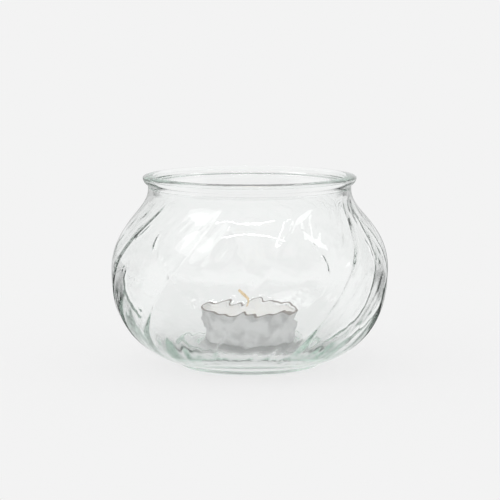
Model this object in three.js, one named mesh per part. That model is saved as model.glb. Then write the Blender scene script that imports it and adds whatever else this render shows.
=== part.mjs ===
// Glass candle holder: a squat bowl with swirling ribs, and the tealight that stands in it.
// Millimetres, +Z up. The origin is the middle of the foot, on the surface that the bowl stands on.
// The front is -Y, and angles round the bowl are counted from the front toward +X.
import * as THREE from 'three';

// Bowl: heights, and outside radii in the hollows between the ribs
const bowlHeight = 77;
const footRadius = 28.4;
const footHeight = 2;
const heelStep = 2.9; // the body springs from the foot this much further out
const bellyRadius = 56;
const bellyHeight = 38.5;
const neckRadius = 41;
const neckHeight = 1.9; // upright stretch under the rim bead

// Sweep of the outline: shares of the height from foot to belly, or from belly to neck
const heelSlope = 18.5; // degrees above level where the body leaves the foot
const heelPull = 0.53;
const lowerFullness = 0.46;
const shoulderFullness = 0.56;
const neckSweep = 0.29;

// Rim bead
const beadHeight = 3.7;
const beadOverhang = 2.1; // the bead stands out this much from the neck
const beadShoulder = 1; // from the bead's widest line up to its top
const mouthEdge = 0.7; // rounding of the edge between the top and the bore

// Glass thickness, square to the wall
const baseThickness = 5.2;
const heelWall = 4.4;
const bellyWall = 2.2;
const shoulderWall = 3.2;
const neckWall = 2.4;
const heelBuildUp = 1.5; // above 1, the glass thickens later and faster on its way down to the heel

// Underside
const footEdge = 0.9; // rounding of the foot's lower edge
const heelTuck = 0.4; // the underside of the heel dips this much toward the foot
const ringWidth = 4; // flat ring that touches the table
const pushUpHeight = 1.2; // the middle of the underside is pressed up
const pushUpRun = 4;

// Swirling ribs
const ribCount = 10;
const ribHeight = 0.3; // a crest stands out this much from the plain wall beside it
const ribThinning = 0.35; // the blown wall is this much thinner under a crest
const ribSharpness = 4; // above 1, a rib is a narrow ridge between wide plain panels
const crestSoftness = 0.04; // 0 is a sharp crest
const ribTurn = 54; // degrees that a rib climbs round the bowl over the full height
const ribPhase = -24; // degrees, where one rib's line meets the table
const ribDrift = 5.7; // degrees; the ribs stand a little wider apart at the front than at the back
const ribGrowth = 10; // height in which the ribs grow out of the heel
const ribFade = 12; // height in which they die away below the neck

// Tealight cup, drawn from sheet
const cupRadius = 18.7;
const cupHeight = 16;
const cupWall = 0.3;
const cupCorner = 1.6;
const cupRingWidth = 2.4; // ring that the cup stands on
const cupPushUp = 0.7;
const cupStepRun = 1.4; // width of the step up to the raised middle
const curlRadius = 0.4; // rolled edge

// Wax, wick and the disc that holds the wick
const waxDrop = 1.3; // edge of the wax below the top of the rolled edge
const waxDish = 0.5; // hollow of the cooled top
const waxPeak = 0.9; // the wax climbs the wick
const waxPeakRun = 1.5; // and the climb dies away over this width
const wickRadius = 0.75;
const wickHeight = 9.4; // above the edge of the wax
const wickLean = 4.2;
const wickStraight = 0.4; // share of the free height before the wick starts to lean
const wickBend = 0.65; // share of the free height at the middle of its bend
const discRadius = 6.2;
const discThickness = 0.3;
const collarHeight = 3;
const collarWall = 0.3;

// Fits
const clearance = 0.3;
const floorMargin = 4; // level glass round the tealight
const insideCorner = 8; // the corner between floor and wall is this wide

// Smoothness
const segmentsPerRib = 8;
const columnCrowding = 1.3; // above 1, the mesh is finer near the crests than in the panels between them
const wallSteps = 9;
const beadSteps = 4;
const edgeSteps = 3;
const cupSegments = 48;
const waxRings = 6;
const wickSides = 12;
const wickSteps = 18;

const radians = THREE.MathUtils.degToRad;
const { clamp, lerp, smoothstep } = THREE.MathUtils;
const at = (radius, height) => new THREE.Vector2(radius, height);

const neckStart = bowlHeight - beadHeight - neckHeight;
const floorRadius = cupRadius + curlRadius + floorMargin;

function wallAt(height) {
  const thickest = (bellyHeight + neckStart) / 2;
  const downToHeel = clamp((bellyHeight - height) / (bellyHeight - footHeight), 0, 1);
  const lower = lerp(bellyWall, heelWall, downToHeel ** heelBuildUp);
  const upper = lerp(lower, shoulderWall, smoothstep(height, bellyHeight, thickest));
  return lerp(upper, neckWall, smoothstep(height, thickest, neckStart));
}

// The outside of the body, from the heel to the neck
function bodyCurves() {
  const lowerRise = bellyHeight - footHeight;
  const upperRise = neckStart - bellyHeight;
  const slope = radians(heelSlope);
  const heel = at(footRadius + heelStep, footHeight);
  const outOfHeel = at(Math.cos(slope), Math.sin(slope)).multiplyScalar(heelPull * lowerRise).add(heel);
  const intoBelly = at(bellyRadius, bellyHeight - lowerFullness * lowerRise);
  const belly = at(bellyRadius, bellyHeight);
  const outOfBelly = at(bellyRadius, bellyHeight + shoulderFullness * upperRise);
  const intoNeck = at(neckRadius, neckStart - neckSweep * upperRise);
  const neck = at(neckRadius, neckStart);
  return [
    new THREE.CubicBezierCurve(heel, outOfHeel, intoBelly, belly),
    new THREE.CubicBezierCurve(belly, outOfBelly, intoNeck, neck),
  ];
}

// Points on the wall, with the glass thickness taken off square to the outside
function wallPoints(isInside) {
  const points = [];
  bodyCurves().forEach((curve, part) => {
    for (let step = part; step <= wallSteps; step++) {
      const point = curve.getPoint(step / wallSteps);
      const tangent = curve.getTangent(step / wallSteps);
      const thickness = isInside ? wallAt(point.y) : 0;
      points.push(at(point.x - tangent.y * thickness, point.y + tangent.x * thickness));
    }
  });
  return points;
}

function footPoints() {
  const ringOuter = footRadius - footEdge;
  const ringInner = ringOuter - ringWidth;
  const dome = new THREE.CubicBezierCurve(
    at(ringInner - pushUpRun, pushUpHeight),
    at(ringInner - pushUpRun / 2, pushUpHeight),
    at(ringInner - pushUpRun / 2, 0),
    at(ringInner, 0),
  );
  const edge = new THREE.EllipseCurve(ringOuter, footEdge, footEdge, footEdge, -Math.PI / 2, 0);
  const underHeel = at(footRadius, footHeight - heelTuck);
  return [at(0, pushUpHeight), ...dome.getPoints(edgeSteps), ...edge.getPoints(edgeSteps), underHeel];
}

// Rounded outward only: the bore runs straight up to a small rounded edge
function beadPoints() {
  const low = bowlHeight - beadHeight;
  const widest = bowlHeight - beadShoulder;
  const outer = neckRadius + beadOverhang;
  const edgeMiddle = neckRadius - neckWall + mouthEdge;
  const underside = new THREE.CubicBezierCurve(
    at(neckRadius, low),
    at(neckRadius + beadOverhang / 2, low),
    at(outer, (low + widest) / 2),
    at(outer, widest),
  );
  const shoulder = new THREE.EllipseCurve(
    edgeMiddle, widest, outer - edgeMiddle, beadShoulder, 0, Math.PI / 2,
  );
  const edge = new THREE.EllipseCurve(
    edgeMiddle, bowlHeight - mouthEdge, mouthEdge, mouthEdge, Math.PI / 2, Math.PI,
  );
  return [
    ...underside.getPoints(beadSteps),
    ...shoulder.getPoints(beadSteps).slice(1),
    ...edge.getPoints(edgeSteps).slice(1),
  ];
}

// From the wall round the inside corner to the middle of the floor
function floorPoints(wallEnd, wallNext) {
  const slope = (wallNext.x - wallEnd.x) / (wallNext.y - wallEnd.y);
  const corner = new THREE.QuadraticBezierCurve(
    wallEnd,
    at(wallEnd.x - slope * (wallEnd.y - baseThickness), baseThickness),
    at(floorRadius, baseThickness),
  );
  return [...corner.getPoints(edgeSteps).slice(1), at(0, baseThickness)];
}

// 1 on the crest of a rib, 0 in the middle of the panel between two ribs
function crest(angle) {
  const wave = Math.hypot(Math.sin((ribCount / 2) * angle), crestSoftness);
  const top = Math.hypot(1, crestSoftness);
  return ((top - wave) / (top - crestSoftness)) ** ribSharpness;
}

function ribReach(height, start) {
  const grown = smoothstep(height, start, start + ribGrowth);
  const faded = smoothstep(height, neckStart - ribFade, neckStart);
  return grown * (1 - faded);
}

// The angle of a column of the mesh from the first rib's crest, before the ribs turn
function columnAngle(column) {
  const rib = Math.round(column / segmentsPerRib);
  const across = 2 * (column / segmentsPerRib - rib);
  const crowded = Math.sign(across) * Math.abs(across) ** columnCrowding;
  return ((rib + crowded / 2) * 2 * Math.PI) / ribCount;
}

// The columns turn with the ribs, so that an edge of the mesh runs along each crest
function glassBowl() {
  const outside = [...footPoints(), ...wallPoints(false), ...beadPoints()];
  const cornerEnd = floorRadius + insideCorner;
  const wall = wallPoints(true).filter(({ x, y }) => x > cornerEnd || y > bellyHeight);
  const inside = [...wall.slice().reverse(), ...floorPoints(wall[0], wall[1])];
  const profile = [...outside, ...inside];
  const geometry = new THREE.LatheGeometry(profile, ribCount * segmentsPerRib);
  const position = geometry.attributes.position;
  for (let vertex = 0; vertex < position.count; vertex++) {
    const index = vertex % profile.length;
    const angle = columnAngle(Math.floor(vertex / profile.length));
    const { x: radius, y: height } = profile[index];
    const isOutside = index < outside.length;
    const start = isOutside ? footHeight : baseThickness;
    const rise = (isOutside ? ribHeight : ribHeight + ribThinning) * crest(angle);
    const swollen = radius + rise * ribReach(height, start);
    const even = angle + radians(ribPhase + (ribTurn * height) / bowlHeight);
    const turned = even + radians(ribDrift) * Math.sin(even);
    position.setXYZ(vertex, swollen * Math.sin(turned), -swollen * Math.cos(turned), height);
  }
  geometry.computeVertexNormals();
  return geometry;
}

function revolve(profile) {
  const geometry = new THREE.LatheGeometry(profile, cupSegments);
  geometry.rotateX(Math.PI / 2);
  return geometry;
}

// The cup's bottom from its raised middle to the wall, set in by the given amount
function cupBottom(inset) {
  const rounding = Math.max(cupCorner - inset, cupWall);
  const ringInner = cupRadius - cupCorner - cupRingWidth;
  const corner = new THREE.EllipseCurve(
    cupRadius - inset - rounding, inset + rounding, rounding, rounding, -Math.PI / 2, 0,
  );
  const raised = at(ringInner - cupStepRun, cupPushUp + inset);
  return [raised, at(ringInner, inset), ...corner.getPoints(edgeSteps)];
}

function tealightCup() {
  const inner = Math.acos(-cupWall / curlRadius);
  const curlMiddle = cupHeight - curlRadius;
  const curl = new THREE.EllipseCurve(cupRadius, curlMiddle, curlRadius, curlRadius, -Math.PI / 2, inner);
  return revolve([
    at(0, cupPushUp),
    ...cupBottom(0),
    ...curl.getPoints(2 * edgeSteps),
    ...cupBottom(cupWall).reverse(),
    at(0, cupPushUp + cupWall),
  ]);
}

const candleSeat = cupPushUp + cupWall + clearance;
const waxEdge = cupHeight - waxDrop;
const boreRadius = wickRadius + clearance;
const collarRadius = boreRadius + collarWall;

function waxTop() {
  const edge = cupRadius - cupWall - clearance;
  const points = [];
  for (let ring = waxRings; ring >= 0; ring--) {
    const share = (ring / waxRings) ** 2;
    const radius = lerp(boreRadius, edge, share);
    const dish = waxDish * (1 - share ** 2);
    const peak = (waxPeak + waxDish) * Math.exp(-(radius - boreRadius) / waxPeakRun);
    points.push(at(radius, waxEdge - dish + peak));
  }
  return points;
}

function wax() {
  const discRoom = discRadius + clearance;
  const discTop = candleSeat + discThickness + clearance;
  const collarRoom = collarRadius + clearance;
  const collarTop = candleSeat + collarHeight + clearance;
  const top = waxTop();
  return revolve([
    top.at(-1).clone(),
    at(boreRadius, collarTop),
    at(collarRoom, collarTop),
    at(collarRoom, discTop),
    at(discRoom, discTop),
    at(discRoom, candleSeat),
    ...cupBottom(cupWall + clearance),
    ...top,
  ]);
}

function wickSustainer() {
  const discTop = candleSeat + discThickness;
  const collarTop = candleSeat + collarHeight;
  return revolve([
    at(boreRadius, candleSeat),
    at(discRadius, candleSeat),
    at(discRadius, discTop),
    at(collarRadius, discTop),
    at(collarRadius, collarTop),
    at(boreRadius, collarTop),
    at(boreRadius, candleSeat),
  ]);
}

// Straight up through the wax, then leaning over to the side
function wick() {
  const foot = new THREE.Vector3(0, 0, candleSeat);
  const exit = new THREE.Vector3(0, 0, waxEdge + waxPeak);
  const tip = new THREE.Vector3(-wickLean, 0, waxEdge + wickHeight);
  const rise = tip.z - exit.z;
  const route = new THREE.CurvePath();
  route.add(new THREE.LineCurve3(foot, exit));
  route.add(new THREE.CubicBezierCurve3(
    exit,
    new THREE.Vector3(0, 0, exit.z + wickStraight * rise),
    new THREE.Vector3(-wickLean / 2, 0, exit.z + wickBend * rise),
    tip,
  ));
  const section = new THREE.Shape().absarc(0, 0, wickRadius, 0, 2 * Math.PI);
  return new THREE.ExtrudeGeometry(section, {
    steps: wickSteps,
    curveSegments: wickSides,
    bevelEnabled: false,
    extrudePath: route,
  });
}

function piece(name, geometry, color, roughness, metalness) {
  const material = new THREE.MeshStandardMaterial({ color, roughness, metalness });
  const mesh = new THREE.Mesh(geometry, material);
  mesh.name = name;
  return mesh;
}

const tealight = new THREE.Group();
tealight.position.z = baseThickness + clearance;
tealight.add(piece('tealight_cup', tealightCup(), 0xc4c6c6, 0.4, 1));
tealight.add(piece('wax', wax(), 0xf4f2ec, 0.5, 0));
tealight.add(piece('wick_sustainer', wickSustainer(), 0xb9bab8, 0.35, 1));
tealight.add(piece('wick', wick(), 0xd9c194, 0.9, 0));

const holder = new THREE.Group();
holder.add(piece('glass_bowl', glassBowl(), 0xe3ece8, 0.04, 0));
holder.add(tealight);

export default holder;
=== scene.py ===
"""Looks for a clear glass bowl with swirling ribs and the tealight that stands in it."""

import math

import bpy
import numpy as np
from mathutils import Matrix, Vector


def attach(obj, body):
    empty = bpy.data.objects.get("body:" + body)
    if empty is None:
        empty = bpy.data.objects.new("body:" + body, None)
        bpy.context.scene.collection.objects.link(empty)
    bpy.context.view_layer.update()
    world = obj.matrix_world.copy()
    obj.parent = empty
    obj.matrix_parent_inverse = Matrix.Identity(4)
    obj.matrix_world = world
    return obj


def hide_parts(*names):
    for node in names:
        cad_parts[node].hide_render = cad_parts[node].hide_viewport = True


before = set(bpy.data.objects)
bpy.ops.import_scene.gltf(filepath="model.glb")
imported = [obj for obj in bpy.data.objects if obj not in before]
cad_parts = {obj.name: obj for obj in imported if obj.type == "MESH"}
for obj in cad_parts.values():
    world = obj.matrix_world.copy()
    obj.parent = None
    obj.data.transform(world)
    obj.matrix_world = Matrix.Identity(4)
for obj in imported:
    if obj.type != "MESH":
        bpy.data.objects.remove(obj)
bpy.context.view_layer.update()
MM = 0.001
FULL_TURN = 2.0 * math.pi

# Bowl, in millimetres and radians: the driving sizes of the solid model, drawn with a finer surface
BOWL_HEIGHT = 77.0
FOOT_RADIUS = 28.4
FOOT_HEIGHT = 2.0
FOOT_EDGE = 0.9
FOOT_SIDE_TOP = 0.8 * FOOT_HEIGHT
RING_WIDTH = 4.0
PUSH_UP_HEIGHT = 1.2
PUSH_UP_RUN = 4.0
HEEL_STEP = 2.9
HEEL_SLOPE = math.radians(18.5)
HEEL_PULL = 0.53
LOWER_FULLNESS = 0.46
BELLY_RADIUS = 56.0
BELLY_HEIGHT = 38.5
SHOULDER_FULLNESS = 0.56
NECK_SWEEP = 0.29
NECK_RADIUS = 41.0
NECK_HEIGHT = 1.9
BEAD_HEIGHT = 3.7
BEAD_OVERHANG = 2.1
BEAD_SHOULDER = 1.0
BEAD_SWELL = 0.5 * BEAD_OVERHANG
MOUTH_EDGE = 0.7
BASE_THICKNESS = 5.2
HEEL_WALL = 4.4
HEEL_BUILD_UP = 1.5
BELLY_WALL = 2.2
SHOULDER_WALL = 3.2
NECK_WALL = 2.4
FLOOR_RADIUS = 23.1
INSIDE_CORNER = 8.0
NECK_START = BOWL_HEIGHT - BEAD_HEIGHT - NECK_HEIGHT
BORE_EDGE = NECK_RADIUS - NECK_WALL

# Swirling ribs. The wall is thinned less under a crest than in the solid model, because this finer
# surface draws the ribs' lines more strongly
RIB_COUNT = 10
RIB_HEIGHT = 0.3
RIB_THINNING = 0.22
RIB_SHARPNESS = 4.0
CREST_SOFTNESS = 0.04
RIB_TURN = math.radians(54.0)
RIB_PHASE = math.radians(-24.0)
RIB_DRIFT = math.radians(5.7)  # the ribs stand a little wider apart at the front than at the back
RIB_GROWTH = 10.0
RIB_FADE = 12.0

# Ripples that the blown glass keeps, in millimetres: fine waves on the inner face, weaker ones outside
RIPPLE_COUNT = 40
RIPPLE_LENGTHS = (4.0, 22.0)
RIPPLE_SLOPE = 0.055
RIPPLE_SPREAD = 0.5
RIPPLE_SEED = 11
RIPPLE_GROWTH = 1.5
CORNER_BOOST = 1.0  # the ripples double round the corner of the bowl's floor
CORNER_BAND = (8.0, 16.0)
SKIN_SHARE = 0.25
SKIN_SEED = 3
SKIN_INSET = 0.08  # keeps the finer surface inside the box of the faceted one

# Calm patches between the ripples, from a second, broad field of waves
CALM_SHARE = 0.35
BROAD_COUNT = 10
BROAD_LENGTHS = (30.0, 90.0)
BROAD_SLOPE = 1.0
BROAD_SPREAD = 1.5
PATCH_BAND = (-0.5, 1.0)

# Short creases on the inner face: half-width, depth, and the route as (degrees from the
# front towards the right, height) points
CREASES = (
    (0.5, 0.40, ((64, 54), (64, 48), (65, 45), (62, 38), (58, 30), (52, 23.5), (46, 20.5), (36, 16))),
    (0.5, 0.40, ((-68, 41), (-62, 42), (-63.5, 34), (-58, 29), (-55, 25), (-49, 26.5))),
    (0.5, 0.35, ((-58, 29.5), (-53, 28.5), (-50, 26))),
    (0.6, 0.60, ((-47, 55.5), (-46, 51))),
    (0.5, 0.40, ((-44, 50), (-38, 44.5), (-35, 42.5), (-31, 37))),
    (0.5, 0.55, ((29, 55), (32, 50), (33.5, 46.5), (34.5, 41))),
    (0.6, 0.50, ((-63, 53), (-60, 54.5), (-57, 58))),
    (0.9, 0.50, ((71, 61), (68, 55), (67, 49), (66, 44))),
    (1.0, 0.60, ((72, 60), (75, 54), (79, 46), (80, 38), (77, 30), (71, 25), (62, 20), (50, 15.5))),
)
CREASE_STEP = 0.4
CREASE_KNOTS = 2.5
CREASE_SWAY = 0.35
CREASE_FADE = 0.15
CREASE_REACH = 4.0
CREASE_SEED = 5

# Tealight, in millimetres
CLEARANCE = 0.3
CUP_RADIUS = 18.7
CUP_HEIGHT = 16.0
CUP_WALL = 0.3
CUP_CORNER = 1.6
CUP_RING_WIDTH = 2.4
CUP_PUSH_UP = 0.7
CURL_RADIUS = 0.4
WAX_DROP = 1.3
WAX_DISH = 0.5
WAX_PEAK = 0.9
WAX_PEAK_RUN = 1.5
WICK_RADIUS = 0.75
WICK_HEIGHT = 9.4
WICK_LEAN = 4.2
WICK_UPRIGHT = 0.4  # how far it keeps upright, as a share of its free height
WICK_HALFWAY = (0.5, 0.65)  # shares of its lean and its free height on the way to the tip
STRAND_COUNT = 3
STRAND_RADIUS = 0.36
STRAND_WIND = 0.36
STRAND_PITCH = 3.2
DISC_RADIUS = 6.2
DISC_THICKNESS = 0.3
COLLAR_HEIGHT = 3.0
COLLAR_WALL = 0.3
TEALIGHT_Z = BASE_THICKNESS + CLEARANCE
CANDLE_SEAT = CUP_PUSH_UP + CUP_WALL + CLEARANCE
WAX_EDGE = CUP_HEIGHT - WAX_DROP
BORE_RADIUS = WICK_RADIUS + CLEARANCE
COLLAR_RADIUS = BORE_RADIUS + COLLAR_WALL

# Mesh fineness, in steps
RING_STEPS = 720
WALL_STEPS = 56
INSIDE_CORNER_STEPS = 16
PUSH_UP_STEPS = 12
FOOT_EDGE_STEPS = 6
BEAD_UNDERSIDE_STEPS = 14
BEAD_TOP_STEPS = 16
MOUTH_EDGE_STEPS = 8
CUP_RING_STEPS = 192
CUP_CORNER_STEPS = 8
CURL_STEPS = 16
WAX_RINGS = 25
WICK_STEPS = 60
STRAND_SIDES = 10

# Materials, with colours as linear values
GLASS_IOR = 1.52
GLASS_TINT = (0.55, 0.72, 0.63, 1.0)
GLASS_DENSITY = 7.5
RIM_SHADE_BAND = (0.0007, 0.0003)  # metres below the cup's top where its painted shade starts and is full
# painted shade: the dark colour the top of the cup takes, standing in for the shade on its rolled rim and
# inside wall
RIM_SHADE_COLOUR = (0.36, 0.33, 0.31)
WAX_SCATTER = (0.004, 0.0038, 0.0034)

# Camera, fitted to the photograph's frame, in metres, radians and pixels
IMAGE_SIDE = 500.0
FOCAL_PIXELS = 2316.0
AXIS_PIXEL = 249.6
SENSOR = 36.0  # millimetres
CAMERA_DISTANCE = 0.930
CAMERA_HEIGHT = 0.1692
CAMERA_PITCH = math.radians(7.53)
CLIP_START = 0.01

# Floor, in metres and linear values
BACKDROP = 0.896
FLOOR_GAP = 0.0002  # fire-polished glass touches a table at a few points only
FLOOR_REACH = 12.0
FLOOR_COLOUR = (0.8, 0.8, 0.8, 1.0)
FLOOR_THROUGH = 0.94
SHADOW_BAND = (0.03, 0.22)
SHADOW_GLOW = 0.85
CORE_BAND = (0.018, 0.03)
CORE_GLOW = 0.35
UNDER_BAND = (0.036, 0.04)
UNDER_GLOW = 0.8

# The floor's glow for light that has bounced inside the glass: (degrees from the back towards the
# right, glow). The dark stretches draw the dark lines in the wall
FLOOR_AROUND = (
    (-180.0, 0.05), (-130.0, 0.05), (-110.0, 0.8), (-62.0, 0.8), (-60.0, 0.0), (-42.0, 0.0), (-40.0, 0.6),
    (38.0, 0.6), (40.0, 0.0), (62.0, 0.0), (64.0, 0.8), (110.0, 0.8), (130.0, 0.05), (180.0, 0.05),
)

# World: what the glass shows, and the light on matt surfaces in the open and behind the glass
SEEN_THROUGH = 0.92
ROOM_GLOW = 0.85
OPEN_FILL = 0.95
SIDE_FILL = 2.45
TOP_FILL = 0.98
FILL_BAND = (0.25, 0.7)

# Lamps: place and size in metres, power in watts
LAMP_AIM = (0.0, 0.0, 0.05)
STRIP_DISTANCE = 1.1
STRIP_ELEVATION = math.radians(68.0)
STRIP_SIZE = (0.7, 0.02)
STRIP_POWER = 0.5
LEFT_PLACE = (-0.7, -0.35, 0.9)
LEFT_SIZE = (0.6, 0.6)
LEFT_POWER = 1.3
RIGHT_PLACE = (0.75, -0.15, 0.8)
RIGHT_SIZE = (0.1, 0.4)
RIGHT_POWER = 0.25

# Bounces: light crosses the double wall many times
GLASS_BOUNCES = 64
MIRROR_BOUNCES = 32


# Curves and meshes

def smoothstep(x, low, high):
    t = np.clip((np.asarray(x, float) - low) / (high - low), 0.0, 1.0)
    return t * t * (3.0 - 2.0 * t)


def bezier(points, steps):
    """Points on a Bezier curve of any degree, both ends included."""
    t = np.linspace(0.0, 1.0, steps + 1)[:, None]
    layers = [np.array(p, float) for p in points]
    while len(layers) > 1:
        layers = [a * (1.0 - t) + b * t for a, b in zip(layers, layers[1:])]
    return layers[0]


def arc(centre, radii, start, end, steps):
    angle = np.linspace(start, end, steps + 1)
    return np.column_stack([centre[0] + radii[0] * np.cos(angle), centre[1] + radii[1] * np.sin(angle)])


def unit_tangents(points):
    tangent = np.gradient(points, axis=0)
    return tangent / np.linalg.norm(tangent, axis=1)[:, None]


def path_length(steps):
    """The length along a path at each of its points, from the steps between them."""
    return np.concatenate([[0.0], np.cumsum(np.linalg.norm(steps, axis=1))])


def add_mesh(name, vertices, faces, material):
    """A smooth mesh object from millimetres, in the frame's metres."""
    mesh = bpy.data.meshes.new(name)
    mesh.from_pydata((np.asarray(vertices) * MM).tolist(), [], faces)
    mesh.validate()
    mesh.update()
    mesh.shade_smooth()
    mesh.materials.append(material)
    obj = bpy.data.objects.new(name, mesh)
    bpy.context.scene.collection.objects.link(obj)
    return obj


def ring_faces(rings, steps, closed):
    """Quads between rings of points laid one after another."""
    faces = []
    last = rings if closed else rings - 1
    for j in range(last):
        a, b = j * steps, ((j + 1) % rings) * steps
        for i in range(steps):
            k = (i + 1) % steps
            faces.append((a + i, a + k, b + k, b + i))
    return faces


def add_rings(name, rings, ends, material):
    """A closed mesh from rings of points. Fans to two heights on the axis close its ends, and without
    those the last ring joins the first."""
    count, steps = rings.shape[:2]
    vertices = rings.reshape(-1, 3)
    faces = ring_faces(count, steps, ends is None)
    if ends is not None:
        low, high = len(vertices), len(vertices) + 1
        vertices = np.vstack([vertices, [0.0, 0.0, ends[0]], [0.0, 0.0, ends[1]]])
        top = (count - 1) * steps
        for i in range(steps):
            k = (i + 1) % steps
            faces.append((low, k, i))
            faces.append((high, top + i, top + k))
    return add_mesh(name, vertices, faces, material)


def around_axis(radius, angle, height):
    """Points round the Z axis. The angle runs from the front, -Y, towards the right, +X."""
    x, y = radius * np.sin(angle), -radius * np.cos(angle)
    return np.stack([x, y, np.broadcast_to(height, x.shape)], axis=-1)


# Shader graphs

class Graph:
    """Short calls for the nodes of one node tree."""

    def __init__(self, tree):
        self.nodes = tree.nodes
        self.links = tree.links

    def feed(self, socket, value):
        if isinstance(value, bpy.types.NodeSocket):
            self.links.new(value, socket)
        else:
            socket.default_value = value

    def math(self, operation, first, second):
        node = self.nodes.new("ShaderNodeMath")
        node.operation = operation
        self.feed(node.inputs[0], first)
        self.feed(node.inputs[1], second)
        return node.outputs["Value"]

    def mix(self, factor, first, second):
        node = self.nodes.new("ShaderNodeMix")
        self.feed(node.inputs["Factor"], factor)
        self.feed(node.inputs["A"], first)
        self.feed(node.inputs["B"], second)
        return node.outputs["Result"]

    def mix_colour(self, factor, first, second):
        node = self.nodes.new("ShaderNodeMix")
        node.data_type = "RGBA"
        inputs = [socket for socket in node.inputs if socket.type == "RGBA"]
        outputs = [socket for socket in node.outputs if socket.type == "RGBA"]
        self.feed(node.inputs["Factor"], factor)
        self.feed(inputs[0], first)
        self.feed(inputs[1], second)
        return outputs[0]

    def ramp(self, value, band, low, high, shape="SMOOTHSTEP"):
        """From low at the start of the band to high at its end."""
        node = self.nodes.new("ShaderNodeMapRange")
        node.interpolation_type = shape
        self.feed(node.inputs["Value"], value)
        node.inputs["From Min"].default_value = band[0]
        node.inputs["From Max"].default_value = band[1]
        node.inputs["To Min"].default_value = low
        node.inputs["To Max"].default_value = high
        return node.outputs["Result"]

    def colour_ramp(self, value, stops):
        """Straight from colour to colour between (position, colour) stops."""
        node = self.nodes.new("ShaderNodeValToRGB")
        elements = node.color_ramp.elements
        elements[0].position = stops[0][0]
        elements[1].position = stops[-1][0]
        for position, _ in stops[1:-1]:
            elements.new(position)
        for element, (_, colour) in zip(elements, stops):
            element.color = (*colour, 1.0)
        self.feed(node.inputs["Fac"], value)
        return node.outputs["Color"]

    def coordinates(self, kind):
        return self.nodes.new("ShaderNodeTexCoord").outputs[kind]

    def split(self, vector):
        node = self.nodes.new("ShaderNodeSeparateXYZ")
        self.feed(node.inputs["Vector"], vector)
        return node.outputs

    def length(self, vector):
        node = self.nodes.new("ShaderNodeVectorMath")
        node.operation = "LENGTH"
        self.feed(node.inputs[0], vector)
        return node.outputs["Value"]

    def glow_around(self, vector, stops):
        """A value by direction round the Z axis, from (degrees from +Y towards +X, value) stops."""
        part = self.split(vector)
        angle = self.math("ARCTAN2", part["X"], part["Y"])
        turn = self.ramp(angle, (-math.pi, math.pi), 0.0, 1.0, "LINEAR")
        return self.colour_ramp(turn, [(0.5 + degrees / 360.0, (value,) * 3) for degrees, value in stops])

    def noise_bump(self, shader, scale, strength, distance, detail=2.0):
        """A fine noise relief on a shader's normal, laid out in the piece's own metres."""
        noise = self.nodes.new("ShaderNodeTexNoise")
        noise.inputs["Scale"].default_value = scale
        noise.inputs["Detail"].default_value = detail
        bump = self.nodes.new("ShaderNodeBump")
        bump.inputs["Strength"].default_value = strength
        bump.inputs["Distance"].default_value = distance
        self.feed(noise.inputs["Vector"], self.coordinates("Object"))
        self.feed(bump.inputs["Height"], noise.outputs["Fac"])
        self.feed(shader["Normal"], bump.outputs["Normal"])
        return noise.outputs["Fac"]

    def mottle(self, noise, low, high, band=(0.3, 0.7)):
        """A colour that follows the noise from low to high."""
        return self.colour_ramp(noise, ((band[0], low), (band[1], high)))

    def light_path(self):
        """The light path, then 1 for camera, glossy and transmission rays, then 1 for rays that have
        bounced inside the glass or off it."""
        path = self.nodes.new("ShaderNodeLightPath").outputs
        mirrored = self.math("MAXIMUM", path["Is Camera Ray"], path["Is Glossy Ray"])
        seen = self.math("MAXIMUM", mirrored, path["Is Transmission Ray"])
        return path, seen, self.math("GREATER_THAN", path["Glossy Depth"], 0.5)


# Materials

def new_material(name):
    """A material, its graph and its shader's inputs."""
    material = bpy.data.materials.new(name)
    material.use_nodes = True
    graph = Graph(material.node_tree)
    return material, graph, graph.nodes["Principled BSDF"].inputs


def glass_material():
    material, graph, shader = new_material("clear_glass")
    shader["Roughness"].default_value = 0.0
    shader["IOR"].default_value = GLASS_IOR
    shader["Transmission Weight"].default_value = 1.0
    noise = graph.noise_bump(shader, scale=260.0, strength=0.05, distance=0.0004, detail=1.0)
    graph.feed(shader["Base Color"], graph.mottle(noise, low=(0.985, 0.995, 0.99), high=(1.0, 1.0, 1.0)))
    absorption = graph.nodes.new("ShaderNodeVolumeAbsorption")
    absorption.inputs["Color"].default_value = GLASS_TINT
    absorption.inputs["Density"].default_value = GLASS_DENSITY
    graph.feed(graph.nodes["Material Output"].inputs["Volume"], absorption.outputs["Volume"])
    return material


def aluminium_material():
    """Dull drawn sheet, pale and mottled, with painted shade: a dark line round the cut edge, for the shade
    on the rolled rim and on the inside wall above the wax.
    """
    material, graph, shader = new_material("drawn_aluminium")
    shader["Roughness"].default_value = 0.5
    noise = graph.noise_bump(shader, scale=200.0, strength=0.6, distance=0.0006, detail=5.0)
    sheet = graph.mottle(noise, low=(0.78, 0.78, 0.78), high=(1.0, 1.0, 1.0), band=(0.35, 0.55))
    top = (TEALIGHT_Z + CUP_HEIGHT) * MM
    height = graph.split(graph.coordinates("Object"))["Z"]
    # painted shade: the top of the cup darkens towards the rim's shade colour
    edge = graph.ramp(height, (top - RIM_SHADE_BAND[0], top - RIM_SHADE_BAND[1]), 0.0, 1.0)
    graph.feed(shader["Base Color"], graph.mix_colour(edge, sheet, (*RIM_SHADE_COLOUR, 1.0)))
    return material


def wax_material():
    material, graph, shader = new_material("white_wax")
    shader["Roughness"].default_value = 0.45
    shader["Subsurface Weight"].default_value = 0.5
    shader["Subsurface Radius"].default_value = WAX_SCATTER
    noise = graph.noise_bump(shader, scale=350.0, strength=0.2, distance=0.0002)
    graph.feed(shader["Base Color"], graph.mottle(noise, low=(0.87, 0.86, 0.84), high=(0.92, 0.915, 0.90)))
    return material


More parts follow.
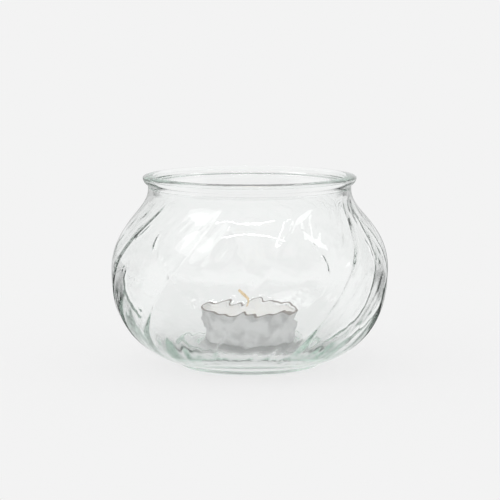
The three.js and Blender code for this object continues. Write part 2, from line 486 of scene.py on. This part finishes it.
def tin_material():
    material, graph, shader = new_material("tinned_steel")
    shader["Metallic"].default_value = 1.0
    shader["Roughness"].default_value = 0.35
    noise = graph.noise_bump(shader, scale=700.0, strength=0.2, distance=0.0001)
    graph.feed(shader["Base Color"], graph.mottle(noise, low=(0.60, 0.60, 0.59), high=(0.70, 0.70, 0.69)))
    return material


def cotton_material():
    material, graph, shader = new_material("waxed_cotton")
    shader["Roughness"].default_value = 0.8
    noise = graph.noise_bump(shader, scale=2500.0, strength=0.6, distance=0.0001)
    graph.feed(shader["Base Color"], graph.mottle(noise, low=(0.74, 0.56, 0.34), high=(0.92, 0.80, 0.60)))
    return material


# Glass bowl: outline

def wall_at(height):
    thickest = (BELLY_HEIGHT + NECK_START) / 2.0
    share = np.clip((BELLY_HEIGHT - height) / (BELLY_HEIGHT - FOOT_HEIGHT), 0.0, 1.0)
    lower = BELLY_WALL + (HEEL_WALL - BELLY_WALL) * share ** HEEL_BUILD_UP
    upper = lower + (SHOULDER_WALL - lower) * smoothstep(height, BELLY_HEIGHT, thickest)
    return upper + (NECK_WALL - upper) * smoothstep(height, thickest, NECK_START)


def foot_outline():
    """The pressed-up underside, the flat contact ring and the rounded edge of the foot."""
    ring_outer = FOOT_RADIUS - FOOT_EDGE
    ring_inner = ring_outer - RING_WIDTH
    middle = ring_inner - PUSH_UP_RUN / 2.0
    dome_edge = (ring_inner - PUSH_UP_RUN, PUSH_UP_HEIGHT)
    dome = bezier([dome_edge, (middle, PUSH_UP_HEIGHT), (middle, 0.0), (ring_inner, 0.0)], PUSH_UP_STEPS)
    edge = arc((ring_outer, FOOT_EDGE), (FOOT_EDGE, FOOT_EDGE), -math.pi / 2.0, 0.0, FOOT_EDGE_STEPS)
    return np.vstack([dome, edge, [(FOOT_RADIUS, FOOT_SIDE_TOP)]])


def body_outline():
    """The outside of the body from the heel to the neck, in the hollows between the ribs."""
    lower_rise = BELLY_HEIGHT - FOOT_HEIGHT
    upper_rise = NECK_START - BELLY_HEIGHT
    heel = np.array([FOOT_RADIUS + HEEL_STEP, FOOT_HEIGHT])
    heel_pull = heel + HEEL_PULL * lower_rise * np.array([math.cos(HEEL_SLOPE), math.sin(HEEL_SLOPE)])
    below_belly = (BELLY_RADIUS, BELLY_HEIGHT - LOWER_FULLNESS * lower_rise)
    belly = (BELLY_RADIUS, BELLY_HEIGHT)
    above_belly = (BELLY_RADIUS, BELLY_HEIGHT + SHOULDER_FULLNESS * upper_rise)
    below_neck = (NECK_RADIUS, NECK_START - NECK_SWEEP * upper_rise)
    lower = bezier([heel, heel_pull, below_belly, belly], WALL_STEPS)
    upper = bezier([belly, above_belly, below_neck, (NECK_RADIUS, NECK_START)], WALL_STEPS)
    return np.vstack([lower, upper[1:]])


def bead_outline():
    """Rounded outward only: the bore runs straight up to a small rounded edge."""
    low = BOWL_HEIGHT - BEAD_HEIGHT
    widest = BOWL_HEIGHT - BEAD_SHOULDER
    outer = NECK_RADIUS + BEAD_OVERHANG
    start, turn = (NECK_RADIUS, low), (NECK_RADIUS + BEAD_SWELL, low)
    underside = bezier([start, turn, (outer, (low + widest) / 2.0), (outer, widest)], BEAD_UNDERSIDE_STEPS)
    top_run = BEAD_OVERHANG + NECK_WALL - MOUTH_EDGE
    top = arc((outer - top_run, widest), (top_run, BEAD_SHOULDER), 0.0, math.pi / 2.0, BEAD_TOP_STEPS)
    edge_centre = (BORE_EDGE + MOUTH_EDGE, BOWL_HEIGHT - MOUTH_EDGE)
    edge = arc(edge_centre, (MOUTH_EDGE, MOUTH_EDGE), math.pi / 2.0, math.pi, MOUTH_EDGE_STEPS)
    return np.vstack([underside, top[1:], edge[1:]])


def inside_outline(outline):
    """The wall's inner face, square to the outside, then round the corner to the floor."""
    tangent = unit_tangents(outline)
    inward = np.column_stack([-tangent[:, 1], tangent[:, 0]])
    wall = outline + inward * wall_at(outline[:, 1])[:, None]
    wall = wall[(wall[:, 0] > FLOOR_RADIUS + INSIDE_CORNER) | (wall[:, 1] > BELLY_HEIGHT)]
    slope = (wall[1][0] - wall[0][0]) / (wall[1][1] - wall[0][1])
    foot = (wall[0][0] - slope * (wall[0][1] - BASE_THICKNESS), BASE_THICKNESS)
    corner = bezier([wall[0], foot, (FLOOR_RADIUS, BASE_THICKNESS)], INSIDE_CORNER_STEPS)
    return np.vstack([wall[::-1], corner[1:]])


# Glass bowl: ribs, ripples and creases

def crest(angle):
    """1 on the crest of a rib, 0 in the middle of the panel between two ribs."""
    wave = np.hypot(np.sin(RIB_COUNT / 2.0 * angle), CREST_SOFTNESS)
    top = math.hypot(1.0, CREST_SOFTNESS)
    return ((top - wave) / (top - CREST_SOFTNESS)) ** RIB_SHARPNESS


def reach_between(height, start, growth):
    """0 at the start, 1 above its growth, and 0 again at the neck."""
    fading = 1.0 - smoothstep(height, NECK_START - RIB_FADE, NECK_START)
    return smoothstep(height, start, start + growth) * fading


def wave_field(angle, height, count, lengths, slope, spread, random):
    """A sum of waves of random length and direction that closes on itself round the bowl."""
    total = np.zeros(np.broadcast_shapes(angle.shape, height.shape))
    for length in np.exp(random.uniform(math.log(lengths[0]), math.log(lengths[1]), count)):
        lean = random.normal(0.0, spread)
        around = round(FULL_TURN * BELLY_RADIUS / length * math.cos(lean))
        over = FULL_TURN / length * math.sin(lean)
        size = slope * length / FULL_TURN * math.sqrt(2.0 / count)
        total += size * np.sin(around * angle + over * height + random.uniform(0.0, FULL_TURN))
    return total


def ripples(angle, height, seed):
    """Fine waves, mostly along the ribs, with calm patches between them."""
    random = np.random.RandomState(seed)
    fine = wave_field(angle, height, RIPPLE_COUNT, RIPPLE_LENGTHS, RIPPLE_SLOPE, RIPPLE_SPREAD, random)
    broad = wave_field(angle, height, BROAD_COUNT, BROAD_LENGTHS, BROAD_SLOPE, BROAD_SPREAD, random)
    patches = smoothstep(broad / np.std(broad), *PATCH_BAND)
    return fine * (CALM_SHARE + (1.0 - CALM_SHARE) * patches)


def crease_route(points, random):
    """Close places along a crease, a little off its smooth line: angle, height and a strength that dies
    out at both ends."""
    points = np.array(points, float)
    angle, height = np.radians(points[:, 0]), points[:, 1]
    length = path_length(np.column_stack([np.diff(angle) * BELLY_RADIUS, np.diff(height)]))
    along = np.arange(0.0, length[-1], CREASE_STEP)
    knots = np.arange(0.0, length[-1] + CREASE_KNOTS, CREASE_KNOTS)
    sway = [np.interp(along, knots, random.normal(0.0, CREASE_SWAY, len(knots))) for _ in range(3)]
    share = along / length[-1]
    ends = smoothstep(share, 0.0, CREASE_FADE) * smoothstep(1.0 - share, 0.0, CREASE_FADE)
    route_angle = np.interp(along, length, angle) + sway[0] / BELLY_RADIUS
    route_height = np.interp(along, length, height) + sway[1]
    return np.column_stack([route_angle, route_height, ends * (1.0 + sway[2])])


def creases(angle, height):
    """How far the creases press into the wall."""
    random = np.random.RandomState(CREASE_SEED)
    relief = np.zeros(angle.shape)
    for half_width, depth, points in CREASES:
        for place, level, strength in crease_route(points, random):
            near = np.abs(height[:, 0] - level) < CREASE_REACH * half_width
            turn = (angle[near] - place + math.pi) % FULL_TURN - math.pi
            gap = ((turn * BELLY_RADIUS) ** 2 + (height[near] - level) ** 2) / half_width ** 2
            relief[near] = np.maximum(relief[near], depth * strength * np.exp(-gap))
    return relief


def glass_bowl(material):
    """One closed body: the foot, the outside and the bead, then the inner face down to the floor."""
    outline = body_outline()
    outside = np.vstack([foot_outline(), outline, bead_outline()])
    profile = np.vstack([outside, inside_outline(outline)])
    outer = np.arange(len(profile)) < len(outside)
    inner = ~outer
    radius, height = profile[:, :1], profile[:, 1:]
    start = np.where(outer, FOOT_HEIGHT, BASE_THICKNESS)[:, None]

    angle = np.linspace(0.0, FULL_TURN, RING_STEPS, endpoint=False)[None, :]
    base = angle + RIB_PHASE + RIB_TURN * height / BOWL_HEIGHT
    turned = base + RIB_DRIFT * np.sin(base)
    rise = np.where(outer, RIB_HEIGHT, RIB_HEIGHT + RIB_THINNING)[:, None]
    reach = reach_between(height, start, RIB_GROWTH)
    swollen = radius + rise * crest(angle) * reach

    level = height + np.minimum(radius - FLOOR_RADIUS - INSIDE_CORNER, 0.0)
    corner = 1.0 + CORNER_BOOST * (1.0 - smoothstep(level, *CORNER_BAND))
    waves = ripples(angle, level, RIPPLE_SEED) * corner
    calm_foot = reach_between(height, start, RIPPLE_GROWTH)
    swollen[inner] += calm_foot[inner] * (waves[inner] + creases(turned[inner], height[inner]))
    skin = SKIN_SHARE * ripples(angle, height, SKIN_SEED) - SKIN_INSET
    swollen[outer] += reach[outer] * skin[outer]

    rings = around_axis(swollen, turned, height)
    return add_rings("bowl_glass", rings, (PUSH_UP_HEIGHT, BASE_THICKNESS), material)


# Tealight

def revolve(name, profile, ends, material):
    """Turns a profile, drawn from the tealight's seat, round the axis. One that doesn't close on itself
    has two end heights on the axis."""
    radius, height = np.asarray(profile, float).T[:, :, None]
    angle = np.linspace(0.0, FULL_TURN, CUP_RING_STEPS, endpoint=False)[None, :]
    if ends is not None:
        ends = [end + TEALIGHT_Z for end in ends]
    return add_rings(name, around_axis(radius, angle, height + TEALIGHT_Z), ends, material)


def cup_bottom(inset):
    """The cup's pressed-up base and rounded corner, set in from its outside."""
    rounding = max(CUP_CORNER - inset, CUP_WALL)
    ring_inner = CUP_RADIUS - CUP_CORNER - CUP_RING_WIDTH
    middle = ring_inner - CUP_PUSH_UP
    raised = CUP_PUSH_UP + inset
    step_start = (middle - CUP_PUSH_UP, raised)
    step = bezier([step_start, (middle, raised), (middle, inset), (ring_inner, inset)], CUP_CORNER_STEPS)
    centre = (CUP_RADIUS - inset - rounding, inset + rounding)
    corner = arc(centre, (rounding, rounding), -math.pi / 2.0, 0.0, CUP_CORNER_STEPS)
    return np.vstack([step, corner])


def tealight_cup(material):
    meets_wall = math.acos(-CUP_WALL / CURL_RADIUS)
    centre = (CUP_RADIUS, CUP_HEIGHT - CURL_RADIUS)
    curl = arc(centre, (CURL_RADIUS, CURL_RADIUS), -math.pi / 2.0, meets_wall, CURL_STEPS)
    profile = np.vstack([cup_bottom(0.0), curl, cup_bottom(CUP_WALL)[::-1]])
    return revolve("tealight_metal_cup", profile, (CUP_PUSH_UP, CUP_PUSH_UP + CUP_WALL), material)


def wax(material):
    """The cake, dished a little, drawn up round the wick and hollowed below for the disc and collar."""
    edge = CUP_RADIUS - CUP_WALL - CLEARANCE
    share = np.linspace(1.0, 0.0, WAX_RINGS) ** 2
    radius = BORE_RADIUS + (edge - BORE_RADIUS) * share
    peak = (WAX_PEAK + WAX_DISH) * np.exp(-(radius - BORE_RADIUS) / WAX_PEAK_RUN)
    top = np.column_stack([radius, WAX_EDGE - WAX_DISH * (1.0 - share ** 2) + peak])
    disc_room = DISC_RADIUS + CLEARANCE
    disc_top = CANDLE_SEAT + DISC_THICKNESS + CLEARANCE
    collar_room = COLLAR_RADIUS + CLEARANCE
    collar_top = CANDLE_SEAT + COLLAR_HEIGHT + CLEARANCE
    recess = [
        (BORE_RADIUS, collar_top), (collar_room, collar_top), (collar_room, disc_top),
        (disc_room, disc_top), (disc_room, CANDLE_SEAT),
    ]
    return revolve("wax_cake", np.vstack([recess, cup_bottom(CUP_WALL + CLEARANCE), top]), None, material)


def wick_sustainer(material):
    disc_top = CANDLE_SEAT + DISC_THICKNESS
    collar_top = CANDLE_SEAT + COLLAR_HEIGHT
    profile = [
        (BORE_RADIUS, CANDLE_SEAT), (DISC_RADIUS, CANDLE_SEAT), (DISC_RADIUS, disc_top),
        (COLLAR_RADIUS, disc_top), (COLLAR_RADIUS, collar_top), (BORE_RADIUS, collar_top),
    ]
    return revolve("wick_disc", profile, None, material)


def wick_route():
    """Straight up through the wax, then leaning to the left."""
    foot = np.array([0.0, 0.0, CANDLE_SEAT])
    leave = np.array([0.0, 0.0, WAX_EDGE + WAX_PEAK])
    tip = np.array([-WICK_LEAN, 0.0, WAX_EDGE + WICK_HEIGHT])
    rise = tip[2] - leave[2]
    upright = (0.0, 0.0, leave[2] + WICK_UPRIGHT * rise)
    halfway = (-WICK_HALFWAY[0] * WICK_LEAN, 0.0, leave[2] + WICK_HALFWAY[1] * rise)
    lean = bezier([leave, upright, halfway, tip], WICK_STEPS)
    return np.vstack([np.linspace(foot, leave, WICK_STEPS)[:-1], lean])


def wick(material):
    """A plaited wick: strands that wind round one another along the route."""
    route = wick_route()
    length = path_length(np.diff(route, axis=0))
    side = np.array([0.0, 1.0, 0.0])
    across = np.cross(unit_tangents(route), side)
    round_angle = np.linspace(0.0, FULL_TURN, STRAND_SIDES, endpoint=False)[:, None]
    vertices, faces = [], []
    for strand in range(STRAND_COUNT):
        wind = FULL_TURN * (length / STRAND_PITCH + strand / STRAND_COUNT)[:, None]
        middle = route + STRAND_WIND * (np.cos(wind) * across + np.sin(wind) * side)
        start = len(vertices)
        for centre, sideways in zip(middle, across):
            ring = centre + STRAND_RADIUS * (np.cos(round_angle) * sideways + np.sin(round_angle) * side)
            vertices.extend(ring)
        last = len(vertices) - STRAND_SIDES
        faces += [tuple(start + v for v in face) for face in ring_faces(len(route), STRAND_SIDES, False)]
        faces.append(tuple(start + i for i in range(STRAND_SIDES))[::-1])
        faces.append(tuple(last + i for i in range(STRAND_SIDES)))
    return add_mesh("plaited_wick", np.array(vertices) + [0.0, 0.0, TEALIGHT_Z], faces, material)


def build_pieces():
    pieces = (
        (glass_bowl(glass_material()), "bowl", "glass_bowl", "glass"),
        (tealight_cup(aluminium_material()), "cup", "tealight_cup", "cup"),
        (wax(wax_material()), "candle", "wax", "wax"),
        (wick_sustainer(tin_material()), "candle", "wick_sustainer", "tin"),
        (wick(cotton_material()), "candle", "wick", "wick"),
    )
    for piece, body, node, slot in pieces:
        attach(piece, body)
        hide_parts(node)


# Camera, floor, world and lamps

def add_camera():
    data = bpy.data.cameras.new("camera")
    data.sensor_width = SENSOR
    data.lens = FOCAL_PIXELS / IMAGE_SIDE * SENSOR
    data.shift_x = (IMAGE_SIDE / 2.0 - AXIS_PIXEL) / IMAGE_SIDE
    data.clip_start = CLIP_START
    camera = bpy.data.objects.new("camera", data)
    camera.location = (0.0, -CAMERA_DISTANCE, CAMERA_HEIGHT)
    camera.rotation_euler = (math.pi / 2.0 - CAMERA_PITCH, 0.0, 0.0)
    bpy.context.scene.collection.objects.link(camera)
    bpy.context.scene.camera = camera


def floor_material():
    """Light falls on it as on any pale floor. What is seen of it glows as the backdrop does, but less near
    the bowl, where its shadow shows. Light that has bounced inside the glass finds a glow by direction,
    and a pale patch under the bowl."""
    material, graph, shader = new_material("pale_floor")
    shader["Base Color"].default_value = FLOOR_COLOUR
    shader["Roughness"].default_value = 0.9
    shader["Specular IOR Level"].default_value = 0.1
    place = graph.coordinates("Object")
    distance = graph.length(place)
    path, seen, turned = graph.light_path()
    around = graph.glow_around(place, FLOOR_AROUND)
    under = graph.ramp(distance, UNDER_BAND, UNDER_GLOW, 0.0)
    straight = graph.mix(path["Is Camera Ray"], FLOOR_THROUGH, BACKDROP)
    glow = graph.nodes.new("ShaderNodeEmission")
    graph.feed(glow.inputs["Color"], graph.mix(turned, straight, graph.math("MAXIMUM", around, under)))
    shadow = graph.ramp(distance, SHADOW_BAND, SHADOW_GLOW, 1.0)
    core = graph.ramp(distance, CORE_BAND, CORE_GLOW, 1.0)
    share = graph.math("MAXIMUM", graph.math("MULTIPLY", shadow, core), turned)
    mix = graph.nodes.new("ShaderNodeMixShader")
    graph.feed(mix.inputs["Fac"], graph.math("MULTIPLY", share, seen))
    graph.feed(mix.inputs[1], graph.nodes["Principled BSDF"].outputs["BSDF"])
    graph.feed(mix.inputs[2], glow.outputs["Emission"])
    graph.feed(graph.nodes["Material Output"].inputs["Surface"], mix.outputs["Shader"])
    return material


def add_floor():
    far = FLOOR_REACH
    corners = [(-far, -far, 0), (far, -far, 0), (far, far, 0), (-far, far, 0)]
    mesh = bpy.data.meshes.new("floor")
    mesh.from_pydata(corners, [], [(0, 1, 2, 3)])
    mesh.materials.append(floor_material())
    floor = bpy.data.objects.new("floor", mesh)
    floor.location.z = -FLOOR_GAP
    bpy.context.scene.collection.objects.link(floor)


def add_world():
    """A pale room for what is seen in the glass, and even light for matt surfaces. Behind the glass that
    light is stronger from the sides, so that the tealight looks nearly as pale there as in the open."""
    world = bpy.data.worlds.new("studio")
    bpy.context.scene.world = world
    world.use_nodes = True
    graph = Graph(world.node_tree)
    direction = graph.split(graph.coordinates("Generated"))
    path, seen, turned = graph.light_path()
    view = graph.mix(turned, SEEN_THROUGH, ROOM_GLOW)
    behind_glass = graph.ramp(direction["Z"], FILL_BAND, SIDE_FILL, TOP_FILL)
    fill = graph.mix(path["Is Transmission Ray"], OPEN_FILL, behind_glass)
    no_matt_surface_yet = graph.math("LESS_THAN", path["Diffuse Depth"], 0.5)
    light = graph.mix(graph.math("MULTIPLY", seen, no_matt_surface_yet), fill, view)
    graph.feed(graph.nodes["Background"].inputs["Color"], graph.mix(path["Is Camera Ray"], light, BACKDROP))


def add_lamp(name, place, size, power, shape):
    data = bpy.data.lights.new(name, "AREA")
    data.shape = shape
    data.size, data.size_y = size
    data.energy = power
    lamp = bpy.data.objects.new(name, data)
    lamp.location = place
    lamp.rotation_euler = (Vector(LAMP_AIM) - Vector(place)).to_track_quat("-Z", "Y").to_euler()
    bpy.context.scene.collection.objects.link(lamp)


def add_lamps():
    forward, up = STRIP_DISTANCE * math.cos(STRIP_ELEVATION), STRIP_DISTANCE * math.sin(STRIP_ELEVATION)
    add_lamp("strip", (0.0, -forward, LAMP_AIM[2] + up), STRIP_SIZE, STRIP_POWER, "RECTANGLE")
    add_lamp("left_box", LEFT_PLACE, LEFT_SIZE, LEFT_POWER, "ELLIPSE")
    add_lamp("right_box", RIGHT_PLACE, RIGHT_SIZE, RIGHT_POWER, "ELLIPSE")


def set_options():
    scene = bpy.context.scene
    scene.view_settings.view_transform = "Standard"
    scene.cycles.max_bounces = GLASS_BOUNCES
    scene.cycles.transmission_bounces = GLASS_BOUNCES
    scene.cycles.glossy_bounces = MIRROR_BOUNCES


add_camera()
build_pieces()
add_floor()
add_world()
add_lamps()
set_options()
